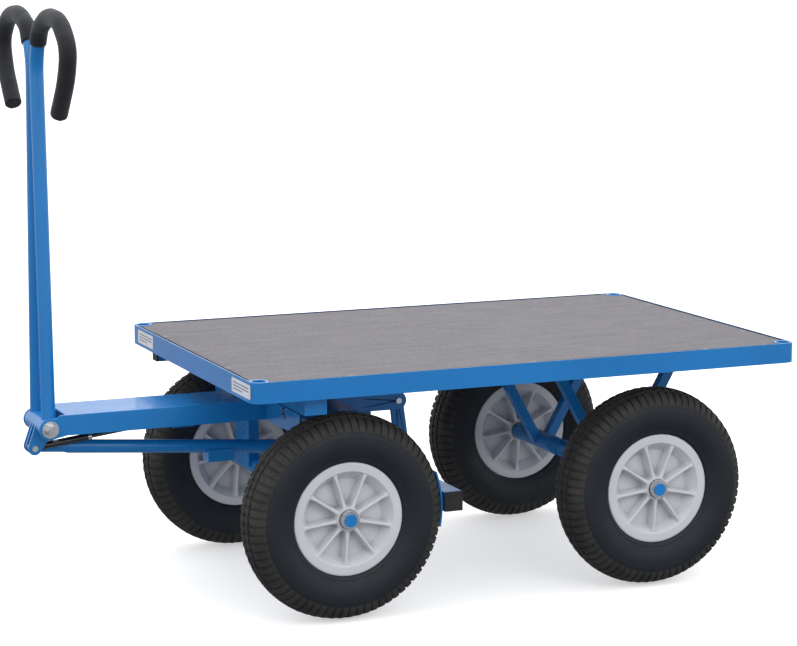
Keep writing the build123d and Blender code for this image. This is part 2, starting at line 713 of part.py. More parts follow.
def drawbar_tube(side):
    """One long tube of the drawbar, bent over at its top into a hand loop."""
    foot = (DRAWBAR_X, side * TUBE_FOOT_Y, FOOT_Z)
    join = (DRAWBAR_X, side * TUBE_JOIN_Y, TUBE_JOIN_Z)
    tube = swept_bar([foot, join] + loop_points(side), DRAWBAR_TUBE_RADIUS)
    tube -= rod_y(BARREL_RADIUS, PIVOT, (-BARREL_HALF_LENGTH - 5, BARREL_HALF_LENGTH + 5))
    middle_y = sorted((0.0, -side * 60.0))
    tube -= block((DRAWBAR_X - 40, DRAWBAR_X + 40), middle_y, (FOOT_Z, 1300.0))
    return max(tube.solids(), key=lambda solid: solid.volume)


def grip(side):
    """A foam sleeve round the hand loop, closed at the tip."""
    start = (DRAWBAR_X, side * GRIP_START[0], GRIP_START[1])
    sleeve = swept_bar([start] + loop_points(side, GRIP_WALL_END), GRIP_RADIUS)
    foot = (DRAWBAR_X, side * TUBE_FOOT_Y, FOOT_Z)
    join = (DRAWBAR_X, side * TUBE_JOIN_Y, TUBE_JOIN_Z)
    sleeve -= swept_bar([foot, join] + loop_points(side), DRAWBAR_TUBE_RADIUS)
    middle_y = sorted((side * 0.15, -side * 60.0))
    sleeve -= block((DRAWBAR_X - 40, DRAWBAR_X + 40), middle_y, (FOOT_Z, 1300.0))
    return max(sleeve.solids(), key=lambda solid: solid.volume)


def drawbar_barrel():
    """The cross tube at the drawbar's foot, with lug plates for the push tube and the gas spring."""
    barrel = rod_y(BARREL_RADIUS, PIVOT, (-BARREL_HALF_LENGTH, BARREL_HALF_LENGTH))
    inner = [tuple(sorted((side * LUG_PLATE_Y[0], side * LUG_PLATE_Y[1]))) for side in (-1, 1)]
    for y in inner + [OUTER_LUG_Y]:
        barrel += link_plate(PIVOT, BARREL_RADIUS, LUG_PIN, LUG_RADIUS, y)
        barrel -= rod_y(6.0, LUG_PIN, (y[0] - 1, y[1] + 1))
    return barrel - rod_y(BUSHING_RADIUS, PIVOT, (-BARREL_HALF_LENGTH - 1, BARREL_HALF_LENGTH + 1))


def pivot_bushes():
    """Flanged bushes in the barrel's ends, turning on the pivot bolt."""
    bushes = []
    for side in (-1, 1):
        body_y = sorted((side * (BARREL_HALF_LENGTH - 24), side * BARREL_HALF_LENGTH))
        flange_y = sorted((side * BARREL_HALF_LENGTH, side * (BARREL_HALF_LENGTH + 1.6)))
        bush = rod_y(BUSHING_RADIUS, PIVOT, body_y) + rod_y(15.0, PIVOT, flange_y)
        bushes.append(bush - rod_y(PIVOT_BOLT_RADIUS + RUNNING_GAP, PIVOT, (-70, 70)))
    return bushes


def lug_pin():
    """The pin through the lug plates that works the push tube and the gas spring."""
    return rod_y(6.0, LUG_PIN, (OUTER_LUG_Y[0] - 2.5, 13.0)) + rod_y(9.0, LUG_PIN, (9.7, 13.0))


# ---------------------------------------------------------------- push tube and gas spring
PUSH_FULL = distance(LUG_PIN, BRAKE_PIN)
EYE_HALF = 4.0
SPRING_EYE_HALF = 5.0
SPRING_BODY = (22.0, 108.0)
SPRING_COLLAR_END = 116.0
SPRING_ROD_START = 96.0
SPRING_FULL = distance(LUG_PIN, SPRING_ANCHOR)


def push_tube():
    """The round tube under the neck, with a flattened eye at the front and a slotted one behind."""
    front_tip = along(LUG_PIN, BRAKE_PIN, 40.0)
    tube_start = along(LUG_PIN, BRAKE_PIN, 72.0)
    tube_end = along(LUG_PIN, BRAKE_PIN, PUSH_FULL - 42.0)
    flat = (-EYE_HALF, EYE_HALF)
    tube = round_bar(PUSH_TUBE_RADIUS, tube_start, tube_end, 0.0)
    tube += round_bar(6.0, front_tip, tube_start, 0.0, taper=PUSH_TUBE_RADIUS)
    tube += link_plate(LUG_PIN, 11.0, tube_start, 11.0, flat)
    rear_eye = (BRAKE_PIN[0] - 1.0, BRAKE_PIN[1] + 3.5)
    tube += link_plate(tube_end, 12.0, rear_eye, 16.0, flat)
    tube -= rod_y(6.0 + RUNNING_GAP, LUG_PIN, (-20, 20))
    for x, z in push_slot_path():
        tube -= rod_y(5.6, (x, z), (-20, 20))
    return tube


def rub_block():
    """A short channel welded under the push tube where it passes below the neck."""
    x = (-546.0, -492.0)
    tube_line = [along(LUG_PIN, BRAKE_PIN, 72.0), along(LUG_PIN, BRAKE_PIN, PUSH_FULL - 42.0)]
    shoe = block(x, (-18.0, 18.0), (257.0, 281.0))
    return shoe - round_bar(PUSH_TUBE_RADIUS, tube_line[0], tube_line[1], 0.0)


def gas_cylinder():
    """The gas spring's cylinder, with an eye on the lug pin and a bore for its rod."""
    start = along(LUG_PIN, SPRING_ANCHOR, SPRING_BODY[0])
    end = along(LUG_PIN, SPRING_ANCHOR, SPRING_BODY[1])
    y = (SPRING_Y - SPRING_EYE_HALF, SPRING_Y + SPRING_EYE_HALF)
    cylinder = round_bar(SPRING_TUBE_RADIUS, start, end, SPRING_Y)
    cylinder += link_plate(LUG_PIN, 12.0, along(LUG_PIN, SPRING_ANCHOR, SPRING_BODY[0] + 4.0), 4.0, y)
    cylinder -= rod_y(6.0 + RUNNING_GAP, LUG_PIN, (y[0] - 1, y[1] + 1))
    return cylinder - spring_bore()


def spring_bore():
    """The space that the rod slides in."""
    start = along(LUG_PIN, SPRING_ANCHOR, SPRING_ROD_START - SPRING_STROKE - 3.0)
    end = along(LUG_PIN, SPRING_ANCHOR, SPRING_COLLAR_END + 5.0)
    return round_bar(SPRING_ROD_RADIUS + RUNNING_GAP, start, end, SPRING_Y)


def gas_collar():
    """The plated rod guide that closes the cylinder."""
    start = along(LUG_PIN, SPRING_ANCHOR, SPRING_BODY[1])
    end = along(LUG_PIN, SPRING_ANCHOR, SPRING_COLLAR_END)
    return round_bar(SPRING_TUBE_RADIUS, start, end, SPRING_Y) - spring_bore()


def gas_rod():
    """The gas spring's rod, with an eye and pin in the neck's bracket."""
    y = (SPRING_Y - SPRING_EYE_HALF, SPRING_Y + SPRING_EYE_HALF)
    start = along(LUG_PIN, SPRING_ANCHOR, SPRING_ROD_START)
    rod = round_bar(SPRING_ROD_RADIUS, start, along(LUG_PIN, SPRING_ANCHOR, SPRING_FULL - 8.0), SPRING_Y)
    rod += rod_y(10.0, SPRING_ANCHOR, y)
    return rod + rod_y(5.0, SPRING_ANCHOR, (SPRING_Y - 13.0, SPRING_Y + 13.0))


# ---------------------------------------------------------------- brake
SHOE_INNER = 201.0
SHOE_OUTER = 205.0
SHOE_ANGLES = (-11.0, 20.0)
SHOE_Y = (268.0, 328.0)
SPACER_Y = (284.0, 316.0)
SPACER_HEIGHT = 26.0
CLEVIS_Y = (6.0, 12.0)
ARM_THICKNESS = 8.0


def bar_box(size, y):
    """A square section along Y about the brake bar's centre."""
    x, z = BRAKE_BAR_CENTRE
    return block((x - size / 2, x + size / 2), y, (z - size / 2, z + size / 2))


def brake_bar():
    """The square tube across the trolley that carries the brake shoes."""
    half = BRAKE_BAR_HALF_LENGTH
    return bar_box(BRAKE_BAR_SIZE, (-half, half)) - bar_box(BRAKE_BAR_SIZE - 6.0, (-half - 1, half + 1))


def brake_bar_caps():
    """Plastic caps that close the brake bar's ends."""
    half = BRAKE_BAR_HALF_LENGTH
    caps = []
    for side in (-1, 1):
        lid_y = sorted((side * half, side * (half + CAP_THICKNESS)))
        plug_y = sorted((side * (half - 14), side * half))
        caps.append(bar_box(BRAKE_BAR_SIZE, lid_y) + bar_box(BRAKE_BAR_SIZE - 6.0, plug_y))
    return caps


def brake_shoes():
    """Curved plates that press on the front tyres, each with a spacer to the bar."""
    shoes = []
    centre = (FRONT_AXLE_X, AXLE_HEIGHT)
    for side in (-1, 1):
        y = sorted((side * SHOE_Y[0], side * SHOE_Y[1]))
        ring = rod_y(SHOE_OUTER, centre, y) - rod_y(SHOE_INNER, centre, (y[0] - 1, y[1] + 1))
        wedge = [centre] + [
            (centre[0] + 300 * cos(radians(a)), centre[1] + 300 * sin(radians(a))) for a in SHOE_ANGLES
        ]
        shoe = ring & side_plate(wedge, y)
        spacer_y = sorted((side * SPACER_Y[0], side * SPACER_Y[1]))
        spacer_z = (BRAKE_BAR_CENTRE[1] - SPACER_HEIGHT / 2, BRAKE_BAR_CENTRE[1] + SPACER_HEIGHT / 2)
        bar_face = BRAKE_BAR_CENTRE[0] - BRAKE_BAR_SIZE / 2
        spacer = block((bar_face - 16, bar_face), spacer_y, spacer_z)
        spacer -= rod_y(SHOE_OUTER, centre, (spacer_y[0] - 1, spacer_y[1] + 1))
        shoes.append(shoe + spacer)
    return shoes


def brake_arms():
    """Two arms from the pivots to the bar, and the clevis plates for the push tube."""
    arms = []
    keepout = bar_box(BRAKE_BAR_SIZE, (-BRAKE_BAR_HALF_LENGTH, BRAKE_BAR_HALF_LENGTH))
    for side in (-1, 1):
        inner = side * (BRAKE_ARM_Y - 0.5 - ARM_THICKNESS)
        y = sorted((inner, inner + side * ARM_THICKNESS))
        arm = link_plate(BRAKE_PIVOT, 14.0, BRAKE_BAR_CENTRE, 16.0, y) - keepout
        arms.append(arm - rod_y(6.0, BRAKE_PIVOT, (y[0] - 1, y[1] + 1)))
        clevis_y = sorted((side * CLEVIS_Y[0], side * CLEVIS_Y[1]))
        clevis = link_plate(BRAKE_PIN, 12.0, BRAKE_BAR_CENTRE, 16.0, clevis_y) - keepout
        arms.append(clevis - rod_y(5.0, BRAKE_PIN, (clevis_y[0] - 1, clevis_y[1] + 1)))
    return [max(arm.solids(), key=lambda solid: solid.volume) for arm in arms]


def brake_pins():
    """The two pivot pins, which turn in the hangers, and the clevis pin."""
    pins = []
    for side in (-1, 1):
        inner = side * (BRAKE_ARM_Y - 0.5 - ARM_THICKNESS - 4.0)
        y = sorted((inner, side * (BRAKE_ARM_Y + HANGER_THICKNESS + 4.0)))
        pin = rod_y(6.0 - RUNNING_GAP, BRAKE_PIVOT, y)
        pins.append(pin + rod_y(9.0, BRAKE_PIVOT, sorted((inner, inner + side * 4.0))))
    clevis_pin = rod_y(5.0, BRAKE_PIN, (-CLEVIS_Y[1] - 6.0, CLEVIS_Y[1] + 6.0))
    return pins + [clevis_pin]


# ---------------------------------------------------------------- wheels
HUB_RADIUS = 23.0
BEARING_RADIUS = 20.0
BEARING_WIDTH = 12.0
WEB_HALF = 13.0
CONE_RADII = (75.0, 92.5)
BEAD_RADIUS = 99.0
RIB_THICKNESS = 6.5
RIB_PHASE = 3.0


def ring_profile(points, centre_x, wheel_y):
    """A solid of revolution about the wheel's axle from (radius, width) points."""
    outline = make_face(Polyline(*[(r, w, 0) for r, w in points], close=True))
    body = revolve(outline, axis=Axis.Y, revolution_arc=360)
    return Pos(centre_x, wheel_y, AXLE_HEIGHT) * body


def tyre(centre_x, wheel_y):
    """A pneumatic tyre: rounded tread and sidewalls on two beads, hollow inside."""
    half = TYRE_WIDTH / 2
    crown = [(TYRE_RADIUS, 0), (TYRE_RADIUS - 2, 18), (TYRE_RADIUS - 8, 34), (TYRE_RADIUS - 20, 44)]
    wall = [(172, 48.5), (155, half), (138, 49), (122, 44.5), (112, 39.5)]
    inside = [(BEAD_RADIUS, 22.0), (108, 24), (125, 34), (150, 40), (172, 36), (186, 20), (188, 0)]
    upper = crown + wall + flange_seat() + inside
    lower = [(r, -w) for r, w in reversed(upper) if w > 0]
    return ring_profile(upper + lower, centre_x, wheel_y)


def flange_seat():
    """The bead seat that tyre and rim share, from the flange's edge inwards."""
    edge = RIM_HALF_WIDTH
    return [(RIM_RADIUS, edge), (RIM_RADIUS, edge - 3.0), (BEAD_RADIUS + 3.0, edge - 5.0), (BEAD_RADIUS, edge - 7.0)]


def rim(centre_x, wheel_y):
    """A moulded rim with a central web, nine ribs on each face and a hub."""
    flange = RIM_HALF_WIDTH
    outer = flange_seat() + [(BEAD_RADIUS, 0)]
    inner = [(HUB_RADIUS, 0), (HUB_RADIUS, WEB_HALF), (CONE_RADII[0], WEB_HALF), (CONE_RADII[1], flange)]
    half = outer + inner
    body = ring_profile(half, centre_x, wheel_y)
    body += ring_profile([(r, -w) for r, w in half], centre_x, wheel_y)
    hub = rod_y(HUB_RADIUS, (centre_x, AXLE_HEIGHT), (wheel_y - flange, wheel_y + flange))
    rib_length = CONE_RADII[1] - HUB_RADIUS
    rib = Box(rib_length + 2.0, 2 * flange - 3.0, RIB_THICKNESS)
    for step in range(RIB_COUNT):
        turn = 360.0 * step / RIB_COUNT + 90.0 + RIB_PHASE
        spoke = Rot(0, turn, 0) * Pos(HUB_RADIUS + rib_length / 2, 0, 0) * rib
        body += Pos(centre_x, wheel_y, AXLE_HEIGHT) * spoke
    body += hub
    bore_y = (wheel_y - flange - 1, wheel_y + flange + 1)
    body -= rod_y(AXLE_PIN_RADIUS + 3.0, (centre_x, AXLE_HEIGHT), bore_y)
    for y in bearing_spans(wheel_y):
        body -= rod_y(BEARING_RADIUS, (centre_x, AXLE_HEIGHT), y)
    return body


def bearing_spans(wheel_y):
    """Where the two bearings sit along the axle, flush with the hub's ends."""
    edge = RIM_HALF_WIDTH
    return [(wheel_y - edge, wheel_y - edge + BEARING_WIDTH), (wheel_y + edge - BEARING_WIDTH, wheel_y + edge)]


def bearings(centre_x, wheel_y):
    """Two sealed ball bearings with a shallow groove round each face."""
    pieces = []
    for y in bearing_spans(wheel_y):
        ring = rod_y(BEARING_RADIUS, (centre_x, AXLE_HEIGHT), y)
        for face in ((y[0], y[0] + 0.8), (y[1] - 0.8, y[1])):
            groove = rod_y(16.5, (centre_x, AXLE_HEIGHT), face) - rod_y(13.5, (centre_x, AXLE_HEIGHT), face)
            ring -= groove
        bore_y = (y[0] - 1, y[1] + 1)
        pieces.append(ring - rod_y(AXLE_PIN_RADIUS + RUNNING_GAP, (centre_x, AXLE_HEIGHT), bore_y))
    return pieces


# ---------------------------------------------------------------- assembly
def main():
    os.makedirs("parts", exist_ok=True)
    bolt_holes = [rod_z(4.0, x, y, (CROSSBEAM_BOTTOM - 1, CROSSBEAM_BOTTOM + 4)) for x, y in turntable_bolt_places()]

    save("left_rail", [long_rail(-1)])
    save("right_rail", [long_rail(1)])
    save("front_rail", [cross_rail(-1)])
    save("rear_rail", [cross_rail(1)])
    save("corner_sockets", corner_sockets())
    save("deck_panel", [deck_panel()])
    save("panel_screws", panel_screws())
    save("longitudinal_beams", longitudinal_beams())
    save("turntable_crossbeams", [beam - bolt_holes for beam in turntable_crossbeams()])
    save("front_stub_tube", [front_stub_tube()])
    save("stub_cap", [stub_cap()])
    save("upper_race_plate", [upper_race_plate()])
    save("turntable_bolts", turntable_bolts())
    save("kingpin_bolt", kingpin_bolt())
    save("rear_axle", [axle(REAR_AXLE_X)])
    save("rear_braces", rear_braces())
    save("rear_axle_washers", axle_washers(REAR_AXLE_X))
    save("rear_retaining_caps", retaining_caps(REAR_AXLE_X))

    save("tow_neck", [tow_neck()])
    save("bolster", [bolster()])
    save("bolster_screws", bolster_screws())
    save("lower_race_plate", [lower_race_plate()])
    save("race_balls", race_balls())
    save("kingpin_bush", [kingpin_bush()])
    save("bogie_legs", bogie_legs())
    save("front_axle", [axle(FRONT_AXLE_X)])
    save("front_axle_washers", axle_washers(FRONT_AXLE_X))
    save("front_retaining_caps", retaining_caps(FRONT_AXLE_X))
    save("pivot_bolt", pivot_bolt())
    save("gas_spring_bracket", spring_bracket())
    save("brake_hangers", brake_hangers())

    save("drawbar_barrel", [drawbar_barrel()])
    save("pivot_bushes", pivot_bushes())
    save("lug_pin", [lug_pin()])
    save("drawbar_tube_left", [drawbar_tube(-1)])
    save("drawbar_tube_right", [drawbar_tube(1)])
    save("grip_left", [grip(-1)])
    save("grip_right", [grip(1)])

    save("push_tube", [push_tube()])
    save("rub_block", [rub_block()])
    save("gas_cylinder", [gas_cylinder()])
    save("gas_collar", [gas_collar()])
    save("gas_rod", [gas_rod()])

    save("brake_bar", [brake_bar()])
    save("brake_bar_caps", brake_bar_caps())
    save("brake_shoes", brake_shoes())
    save("brake_arms", brake_arms())
    save("brake_pins", brake_pins())

    for end, x in (("front", FRONT_AXLE_X), ("rear", REAR_AXLE_X)):
        for hand, y in (("left", -WHEEL_Y), ("right", WHEEL_Y)):
            save(f"tyre_{end}_{hand}", [tyre(x, y)])
            save(f"rim_{end}_{hand}", [rim(x, y)])
            save(f"bearings_{end}_{hand}", bearings(x, y))

    print("brake ratio", BRAKE_RATIO)
    print("push tube ratio", PUSH_RATIO)
    print("gas spring ratio", SPRING_RATIO)
    print("gas slide ratio m per rad", SLIDE_RATIO / 1000)
    print("origin shift", ORIGIN_SHIFT)


main()
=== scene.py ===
import json
from math import cos, exp, pi, radians, sin

import bmesh
import bpy
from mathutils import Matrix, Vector
from mathutils.bvhtree import BVHTree


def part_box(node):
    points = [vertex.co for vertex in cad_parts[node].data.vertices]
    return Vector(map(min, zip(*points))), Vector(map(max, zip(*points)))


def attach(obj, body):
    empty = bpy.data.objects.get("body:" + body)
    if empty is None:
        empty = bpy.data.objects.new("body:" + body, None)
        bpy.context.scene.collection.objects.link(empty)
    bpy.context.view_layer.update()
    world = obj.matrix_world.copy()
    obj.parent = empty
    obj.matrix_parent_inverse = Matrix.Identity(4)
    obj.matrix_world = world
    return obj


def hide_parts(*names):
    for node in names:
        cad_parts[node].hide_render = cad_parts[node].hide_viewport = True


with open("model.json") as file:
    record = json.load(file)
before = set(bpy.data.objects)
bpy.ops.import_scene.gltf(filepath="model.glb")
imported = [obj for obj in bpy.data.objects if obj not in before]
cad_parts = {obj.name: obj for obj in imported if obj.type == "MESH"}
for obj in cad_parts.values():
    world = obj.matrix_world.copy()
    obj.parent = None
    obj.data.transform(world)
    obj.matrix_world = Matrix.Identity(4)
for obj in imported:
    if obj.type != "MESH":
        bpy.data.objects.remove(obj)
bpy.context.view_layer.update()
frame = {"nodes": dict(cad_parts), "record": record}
nodes = frame["nodes"]
slot_of = {part["node"]: part["material_slot"] for part in frame["record"]["subparts"]}
scene = bpy.context.scene

# Distance, in metres, within which the facets' doubled corners are joined.
JOINED = 0.00001
MM = 1000.0

# ---------------------------------------------------------------- camera and light
FOCAL_LENGTH = 107.6
SENSOR_WIDTH = 36.0
CAMERA_PLACE = (-1.842, -4.4231, 1.2737)
CAMERA_DOWN = 9.046
CAMERA_TURN = -23.02

camera_data = bpy.data.cameras.new("camera")
camera_data.lens = FOCAL_LENGTH
camera_data.sensor_width = SENSOR_WIDTH
camera = bpy.data.objects.new("camera", camera_data)
camera.location = CAMERA_PLACE
camera.rotation_euler = (radians(90 - CAMERA_DOWN), 0.0, radians(CAMERA_TURN))
scene.collection.objects.link(camera)
scene.camera = camera


def softbox(name, place, target, size, power):
    """A rectangular area light at place, turned towards target."""
    data = bpy.data.lights.new(name, "AREA")
    data.shape = "RECTANGLE"
    data.size, data.size_y = size
    data.energy = power
    lamp = bpy.data.objects.new(name, data)
    lamp.location = place
    lamp.rotation_euler = (Vector(target) - Vector(place)).to_track_quat("-Z", "Y").to_euler()
    scene.collection.objects.link(lamp)


softbox("top_light", (0.0, 0.3, 3.4), (0.0, 0.0, 0.3), (3.6, 2.6), 34.0)
softbox("front_light", (-3.6, -0.6, 2.6), (-0.3, 0.0, 0.5), (2.0, 1.6), 9.0)
softbox("side_light", (0.6, -4.4, 3.0), (0.1, 0.0, 0.3), (2.6, 1.8), 33.0)
softbox("back_light", (1.6, 3.4, 2.2), (0.2, 0.0, 0.4), (2.4, 1.6), 8.0)

SKY = (1.06, 1.06, 1.06, 1.0)
GROUND_BOUNCE = (0.26, 0.27, 0.29, 1.0)
# The direction's Z, below the horizon, at which the surround is down to the bounce.
BOUNCE_FROM = -0.22


def studio():
    """A white surround above the horizon and a dimmer bounce below it."""
    made = bpy.data.worlds.new("studio")
    made.use_nodes = True
    tree = made.node_tree
    direction = tree.nodes.new("ShaderNodeTexCoord")
    parts = tree.nodes.new("ShaderNodeSeparateXYZ")
    ramp = tree.nodes.new("ShaderNodeValToRGB")
    rise = tree.nodes.new("ShaderNodeMapRange")
    rise.inputs["From Min"].default_value = BOUNCE_FROM
    rise.inputs["From Max"].default_value = 0.0
    ramp.color_ramp.elements[0].color = GROUND_BOUNCE
    ramp.color_ramp.elements[1].color = SKY
    tree.links.new(direction.outputs["Generated"], parts.inputs[0])
    tree.links.new(parts.outputs["Z"], rise.inputs["Value"])
    tree.links.new(rise.outputs["Result"], ramp.inputs["Fac"])
    tree.links.new(ramp.outputs["Color"], tree.nodes["Background"].inputs["Color"])
    return made


scene.world = studio()
scene.view_settings.view_transform = "Standard"


# ---------------------------------------------------------------- materials
class Surface:
    """A node material being put together around one Principled shader."""

    def __init__(self, name, **sockets):
        self.material = bpy.data.materials.new(name)
        self.material.use_nodes = True
        self.tree = self.material.node_tree
        self.shader = self.tree.nodes["Principled BSDF"]
        self.place = self.node("ShaderNodeTexCoord").outputs["Object"]
        for socket, value in sockets.items():
            self.shader.inputs[socket.replace("_", " ")].default_value = value

    def node(self, kind, **settings):
        """Adds a node; settings are its properties, or its input sockets where it has such."""
        made = self.tree.nodes.new(kind)
        for key, value in settings.items():
            if hasattr(made, key):
                setattr(made, key, value)
            else:
                made.inputs[key].default_value = value
        return made

    def link(self, source, target):
        self.tree.links.new(source, target)

    def noise(self, scale, detail=3.0, stretch=None):
        """Noise in object space, in features per metre, pulled out along an axis by stretch."""
        texture = self.node("ShaderNodeTexNoise", Scale=scale, Detail=detail)
        source = self.place
        if stretch:
            mapping = self.node("ShaderNodeMapping", Scale=stretch)
            self.link(source, mapping.inputs["Vector"])
            source = mapping.outputs["Vector"]
        self.link(source, texture.inputs["Vector"])
        return texture.outputs["Fac"]

    def ramp(self, factor, low, high, start=0.3, end=0.7):
        """A blend from one colour to another as factor goes from start to end."""
        blend = self.node("ShaderNodeValToRGB")
        stops = blend.color_ramp.elements
        stops[0].position, stops[0].color = start, (*low, 1.0)
        stops[1].position, stops[1].color = end, (*high, 1.0)
        self.link(factor, blend.inputs["Fac"])
        return blend.outputs["Color"]

    def spread(self, factor, low, high, start=0.25, end=0.75):
        """The factor taken from start..end to low..high."""
        scaled = self.node("ShaderNodeMapRange")
        for socket, value in (("From Min", start), ("From Max", end), ("To Min", low), ("To Max", high)):
            scaled.inputs[socket].default_value = value
        self.link(factor, scaled.inputs["Value"])
        return scaled.outputs["Result"]

    def mix(self, factor, first, second):
        """Two colours mixed by factor."""
        mixer = self.node("ShaderNodeMix", data_type="RGBA", blend_type="MIX")
        self.link(factor, mixer.inputs["Factor"])
        self.link(first, mixer.inputs[6])
        self.link(second, mixer.inputs[7])
        return mixer.outputs[2]

    def math(self, operation, first, second):
        """A Math node on two outputs, or an output and a number."""
        step = self.node("ShaderNodeMath", operation=operation)
        self.link(first, step.inputs[0])
        if isinstance(second, (int, float)):
            step.inputs[1].default_value = second
        else:
            self.link(second, step.inputs[1])
        return step.outputs[0]

    def bands(self, direction, period):
        """Parallel sine ridges across an axis, period metres apart."""
        wave = self.node("ShaderNodeTexWave", bands_direction=direction, Scale=2 * pi / (20.0 * period))
        self.link(self.place, wave.inputs["Vector"])
        return wave.outputs["Fac"]

    def bump(self, height, strength, depth):
        """Adds relief, depth metres deep, on top of what is there."""
        relief = self.node("ShaderNodeBump", Strength=strength, Distance=depth)
        self.link(height, relief.inputs["Height"])
        if self.shader.inputs["Normal"].links:
            self.link(self.shader.inputs["Normal"].links[0].from_socket, relief.inputs["Normal"])
        self.link(relief.outputs["Normal"], self.shader.inputs["Normal"])

    def finish(self, colour, roughness):
        self.link(colour, self.shader.inputs["Base Color"])
        self.link(roughness, self.shader.inputs["Roughness"])
        return self.material


def blue_paint():
    """Powder coat: a faint orange peel, slight drift of tone, glossy."""
    paint = Surface("blue_paint", Coat_Weight=0.38, Coat_Roughness=0.07, Specular_IOR_Level=0.28)
    tone = paint.ramp(paint.noise(3.0), (0.0070, 0.182, 0.520), (0.0105, 0.208, 0.575))
    paint.bump(paint.noise(260.0, 1.5), 0.03, 0.0001)
    return paint.finish(tone, paint.spread(paint.noise(24.0), 0.24, 0.34))


def phenolic_panel():
    """Film-faced plywood with a fine pressed wire pattern and streaks along its grain."""
    panel = Surface("phenolic_panel", Specular_IOR_Level=0.15)
    weave = panel.math("MULTIPLY", panel.bands("X", 0.0045), panel.bands("Y", 0.0045))
    long_fibres = panel.noise(48.0, 6.0, (0.15, 1.0, 1.0))
    short_fibres = panel.noise(150.0, 5.0, (1.0, 0.30, 1.0))
    streaks = panel.ramp(long_fibres, (0.114, 0.109, 0.119), (0.212, 0.205, 0.222))
    grain = panel.ramp(short_fibres, (0.108, 0.103, 0.113), (0.218, 0.211, 0.228))
    threads = panel.ramp(weave, (0.216, 0.209, 0.226), (0.092, 0.087, 0.096), 0.15, 0.75)
    tone = panel.mix(panel.spread(panel.noise(7.0), 0.35, 0.60), streaks, grain)
    tone = panel.mix(panel.spread(panel.noise(240.0), 0.20, 0.45), tone, threads)
    panel.bump(weave, 0.35, 0.0004)
    return panel.finish(tone, panel.spread(panel.noise(14.0), 0.56, 0.66))


def zinc_steel():
    """Bright zinc plate with a faint spangle and handling marks."""
    zinc = Surface("zinc_steel", Metallic=1.0)
    cells = zinc.node("ShaderNodeTexVoronoi", Scale=240.0)
    zinc.link(zinc.place, cells.inputs["Vector"])
    tone = zinc.ramp(cells.outputs["Distance"], (0.70, 0.71, 0.73), (0.56, 0.57, 0.60), 0.1, 0.7)
    zinc.bump(zinc.noise(900.0, 2.0), 0.12, 0.0002)
    return zinc.finish(tone, zinc.spread(zinc.noise(60.0), 0.20, 0.38))


def bearing_steel():
    """Ground steel, slightly oily and darker."""
    steel = Surface("bearing_steel", Metallic=1.0)
    tone = steel.ramp(steel.noise(90.0), (0.30, 0.31, 0.33), (0.46, 0.47, 0.49))
    steel.bump(steel.noise(1400.0, 1.0), 0.10, 0.0001)
    return steel.finish(tone, steel.spread(steel.noise(45.0), 0.24, 0.42))


def bronze():
    """Sintered bronze: fine pores and a warm, dull colour."""
    bush = Surface("bronze", Metallic=1.0)
    tone = bush.ramp(bush.noise(160.0, 4.0), (0.42, 0.27, 0.12), (0.62, 0.43, 0.22))
    bush.bump(bush.noise(1600.0, 2.0), 0.25, 0.0002)
    return bush.finish(tone, bush.spread(bush.noise(80.0), 0.34, 0.52))


def black_plastic():
    """Moulded end caps with a spark-eroded grain."""
    cap = Surface("black_plastic", Specular_IOR_Level=0.4)
    tone = cap.ramp(cap.noise(30.0), (0.010, 0.010, 0.012), (0.018, 0.018, 0.020))
    cap.bump(cap.noise(1300.0, 2.0), 0.30, 0.0003)
    return cap.finish(tone, cap.spread(cap.noise(50.0), 0.48, 0.62))


def black_enamel():
    """Stove enamel on the gas spring."""
    enamel = Surface("black_enamel", Coat_Weight=0.5, Coat_Roughness=0.08)
    tone = enamel.ramp(enamel.noise(20.0), (0.007, 0.007, 0.009), (0.013, 0.013, 0.016))
    enamel.bump(enamel.noise(500.0, 1.0), 0.06, 0.0002)
    return enamel.finish(tone, enamel.spread(enamel.noise(40.0), 0.16, 0.26))


def grip_foam():
    """Closed-cell foam: soft sheen, fine cells and shallow handling dents."""
    foam = Surface("grip_foam", Specular_IOR_Level=0.28, Sheen_Weight=0.22, Sheen_Roughness=0.5)
    foam.shader.inputs["Sheen Tint"].default_value = (0.75, 0.78, 0.85, 1.0)
    tone = foam.ramp(foam.noise(45.0, 5.0), (0.0085, 0.0095, 0.0125), (0.0165, 0.0175, 0.0215))
    cells = foam.node("ShaderNodeTexVoronoi", Scale=1500.0)
    foam.link(foam.place, cells.inputs["Vector"])
    foam.bump(foam.noise(70.0, 4.0), 0.25, 0.0012)
    foam.bump(cells.outputs["Distance"], 0.25, 0.0004)
    return foam.finish(tone, foam.spread(foam.noise(90.0), 0.66, 0.84))


def tyre_rubber(name, low, high, rough):
    """Vulcanised rubber with a dusty bloom."""
    rubber = Surface(name, Specular_IOR_Level=0.35)
    bloom = rubber.ramp(rubber.noise(26.0, 6.0), low, high)
    specks = rubber.ramp(rubber.noise(260.0, 3.0), low, high, 0.45, 0.75)
    tone = rubber.mix(rubber.spread(rubber.noise(8.0), 0.25, 0.6), bloom, specks)
    rubber.bump(rubber.noise(700.0, 3.0), 0.22, 0.0004)
    return rubber.finish(tone, rubber.spread(rubber.noise(40.0), rough, rough + 0.14))


